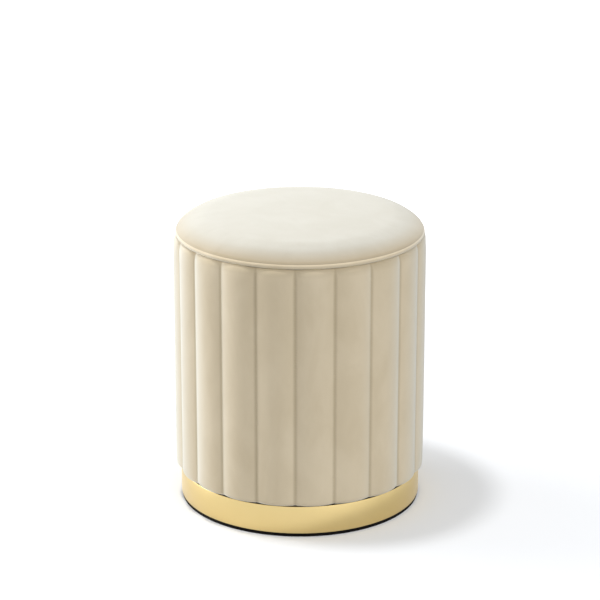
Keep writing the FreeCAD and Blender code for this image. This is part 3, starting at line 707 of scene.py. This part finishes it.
def make_base_band(finish):
    """Gold strip bent round the plinth, its rims eased and its butt joint at the back."""
    low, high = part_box("base_band")
    band = new_piece("base_band_metal", bpy.ops.mesh.primitive_cylinder_add,
                     vertices=BAND_STEPS, radius=high.x, depth=high.z - low.z,
                     end_fill_type="NOTHING", location=(0, 0, (low.z + high.z) / 2))
    bpy.ops.object.mode_set(mode="EDIT")
    pick(band, lambda place: place.y > 0 and abs(place.x) < TOUCH, "EDGE")
    bpy.ops.mesh.bevel(offset=BAND_JOINT / 2, segments=1, affect="EDGES")
    pick(band, lambda place: place.y > 0 and abs(place.x) < BAND_JOINT, "FACE")
    bpy.ops.mesh.delete(type="FACE")
    bpy.ops.object.mode_set(mode="OBJECT")
    apply_modifier(band, "SOLIDIFY", thickness=BAND_WALL, offset=-1)
    bpy.ops.object.mode_set(mode="EDIT")
    rims = (low.z, high.z)
    pick(band, lambda place: min(abs(place.z - rim) for rim in rims) < TOUCH, "EDGE")
    bpy.ops.mesh.bevel(offset=BAND_EDGE, segments=3, affect="EDGES")
    bpy.ops.object.mode_set(mode="OBJECT")
    begin(band)
    bpy.ops.object.shade_smooth_by_angle(angle=math.radians(40))
    wear(band, "base_band", finish)


def finish_inner_pieces():
    """Finishes of the CAD nodes that are shown as they are."""
    boards = plywood("plywood", ((196, 164, 116), (226, 200, 156)), (150, 112, 72))
    # dark stain on the plinth; its darkness also stands in for the shade in the gap between the side
    # cover and the base band
    stain_and_gap_shade = plywood("stained_plywood_gap_shade", ((30, 24, 19), (42, 34, 27)), (22, 17, 13))
    steel = zinc_steel()
    wire = staple_wire()
    stuffing = foam()
    post = timber()
    finishes = {"foot_ring": black_foot(), "dust_cover": dust_cloth(), "drum_skin": hardboard(),
                "seat_wadding": wadding(), "piping_cord": cotton_cord()}
    finishes |= dict.fromkeys(("plinth_ring_lower", "plinth_ring_middle", "plinth_ring_upper",
                               "bottom_board"), stain_and_gap_shade)
    finishes |= dict.fromkeys(("mid_ring", "seat_board"), boards)
    finishes |= dict.fromkeys(("bolt_washers", "plinth_bolts", "tee_nuts",
                               "lower_post_screws", "upper_post_screws"), steel)
    finishes |= dict.fromkeys(("dust_cover_staples", "cover_staples"), wire)
    finishes |= dict.fromkeys(("side_foam", "seat_foam"), stuffing)
    finishes |= dict.fromkeys((f"frame_post_{number}" for number in range(1, 7)), post)
    for name, finish in finishes.items():
        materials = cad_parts[name].data.materials
        materials.clear()
        materials.append(finish)


# The studio

SKY_LIGHT = 0.61
FLOOR_GLOW = 0.12              # of the floor under the key lamp
FAR_GLOW = 0.55                # and far from it, where the lamp's light falls off
GLOW_SPAN = 0.3, 1.8           # distances between which the one turns into the other
KEY_PLACE = (-0.41, -0.02, 2.6)
KEY_WIDTH = 0.30
KEY_POWER = 24
LAMPS = (
    # name, direction towards the lamp, strength, angle across in degrees
    ("left_lamp", (-1.0, 0.30, 0.06), 3.8, 36),
    ("right_lamp", (1.0, -0.9, 0.50), 0.95, 60),
)


def grey(level):
    return (level, level, level, 1.0)


def make_floor():
    """White floor that keeps the object's shadow. It glows more beyond the key lamp's light."""
    floor = new_piece("floor", bpy.ops.mesh.primitive_plane_add, size=40)
    finish = Finish("white_floor")
    plain = finish.node("BsdfDiffuse", inputs={"Color": grey(0.48)})
    shade = finish.node("BsdfDiffuse", inputs={"Color": (0.81, 0.83, 0.86, 1)})
    away = finish.node("VectorMath", {"operation": "LENGTH"}, {0: finish.place()}, out="Value")
    brightness = finish.mix(finish.span(away, *GLOW_SPAN), grey(FLOOR_GLOW), grey(FAR_GLOW))
    glow = finish.node("Emission", inputs={"Color": brightness, "Strength": 1.0})
    white = finish.node("AddShader", inputs={0: shade, 1: glow})
    mixed = finish.node("MixShader", inputs={0: finish.shown(), 1: plain, 2: white})
    finish.node("OutputMaterial", inputs={"Surface": mixed})
    floor.data.materials.append(finish.owner)


def make_world():
    """Even white surroundings, seen at full white and lighting more softly."""
    finish = Finish("studio", "worlds")
    lighting, seen = (
        finish.node("Background", inputs={"Color": grey(1.0), "Strength": strength})
        for strength in (SKY_LIGHT, 1.0))
    mixed = finish.node("MixShader", inputs={0: finish.shown(), 1: lighting, 2: seen})
    finish.node("OutputWorld", inputs={"Surface": mixed})
    bpy.context.scene.world = finish.owner


def make_key_lamp():
    """Round lamp near enough over the object for its shadow to spread."""
    bpy.ops.object.light_add(type="AREA", location=KEY_PLACE,
                             rotation=Vector(KEY_PLACE).to_track_quat("Z", "Y").to_euler())
    lamp = bpy.context.object
    lamp.name = "key_lamp"
    lamp.data.shape = "DISK"
    lamp.data.size = KEY_WIDTH
    lamp.data.energy = KEY_POWER


def make_lamps():
    """Far lamps that light the sides."""
    for name, towards, strength, across in LAMPS:
        bpy.ops.object.light_add(type="SUN", location=towards,
                                 rotation=Vector(towards).to_track_quat("Z", "Y").to_euler())
        lamp = bpy.context.object
        lamp.name = name
        lamp.data.energy = strength
        lamp.data.angle = math.radians(across)


def make_camera():
    across = CAMERA_DISTANCE * math.sin(CAMERA_TURN)
    away = CAMERA_DISTANCE * math.cos(CAMERA_TURN)
    bpy.ops.object.camera_add(location=(across, -away, CAMERA_HEIGHT),
                              rotation=(math.pi / 2 - CAMERA_PITCH, 0, CAMERA_TURN))
    camera = bpy.context.object
    camera.data.lens = FOCAL_LENGTH
    camera.data.sensor_width = SENSOR_WIDTH
    bpy.context.scene.camera = camera


bpy.context.scene.view_settings.view_transform = "Standard"
side_ends = [corner.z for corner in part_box("side_cover")]
make_channelled_side(velvet("side_velvet", (1.0, 1.0, 0.45), WALL_TONES, sheen_share=0.75, ends=side_ends))
make_seat_pad(velvet("top_velvet", (1.0, 1.0, 1.0), SHADED_EDGE_TONES, sheen_share=0.35, level=LIT_TOP_TONES))
make_piping(velvet("piping_velvet", (1.0, 1.0, 1.0), WALL_TONES, sheen_share=0.6))
make_base_band(gold_metal())
finish_inner_pieces()
make_floor()
make_world()
make_key_lamp()
make_lamps()
make_camera()
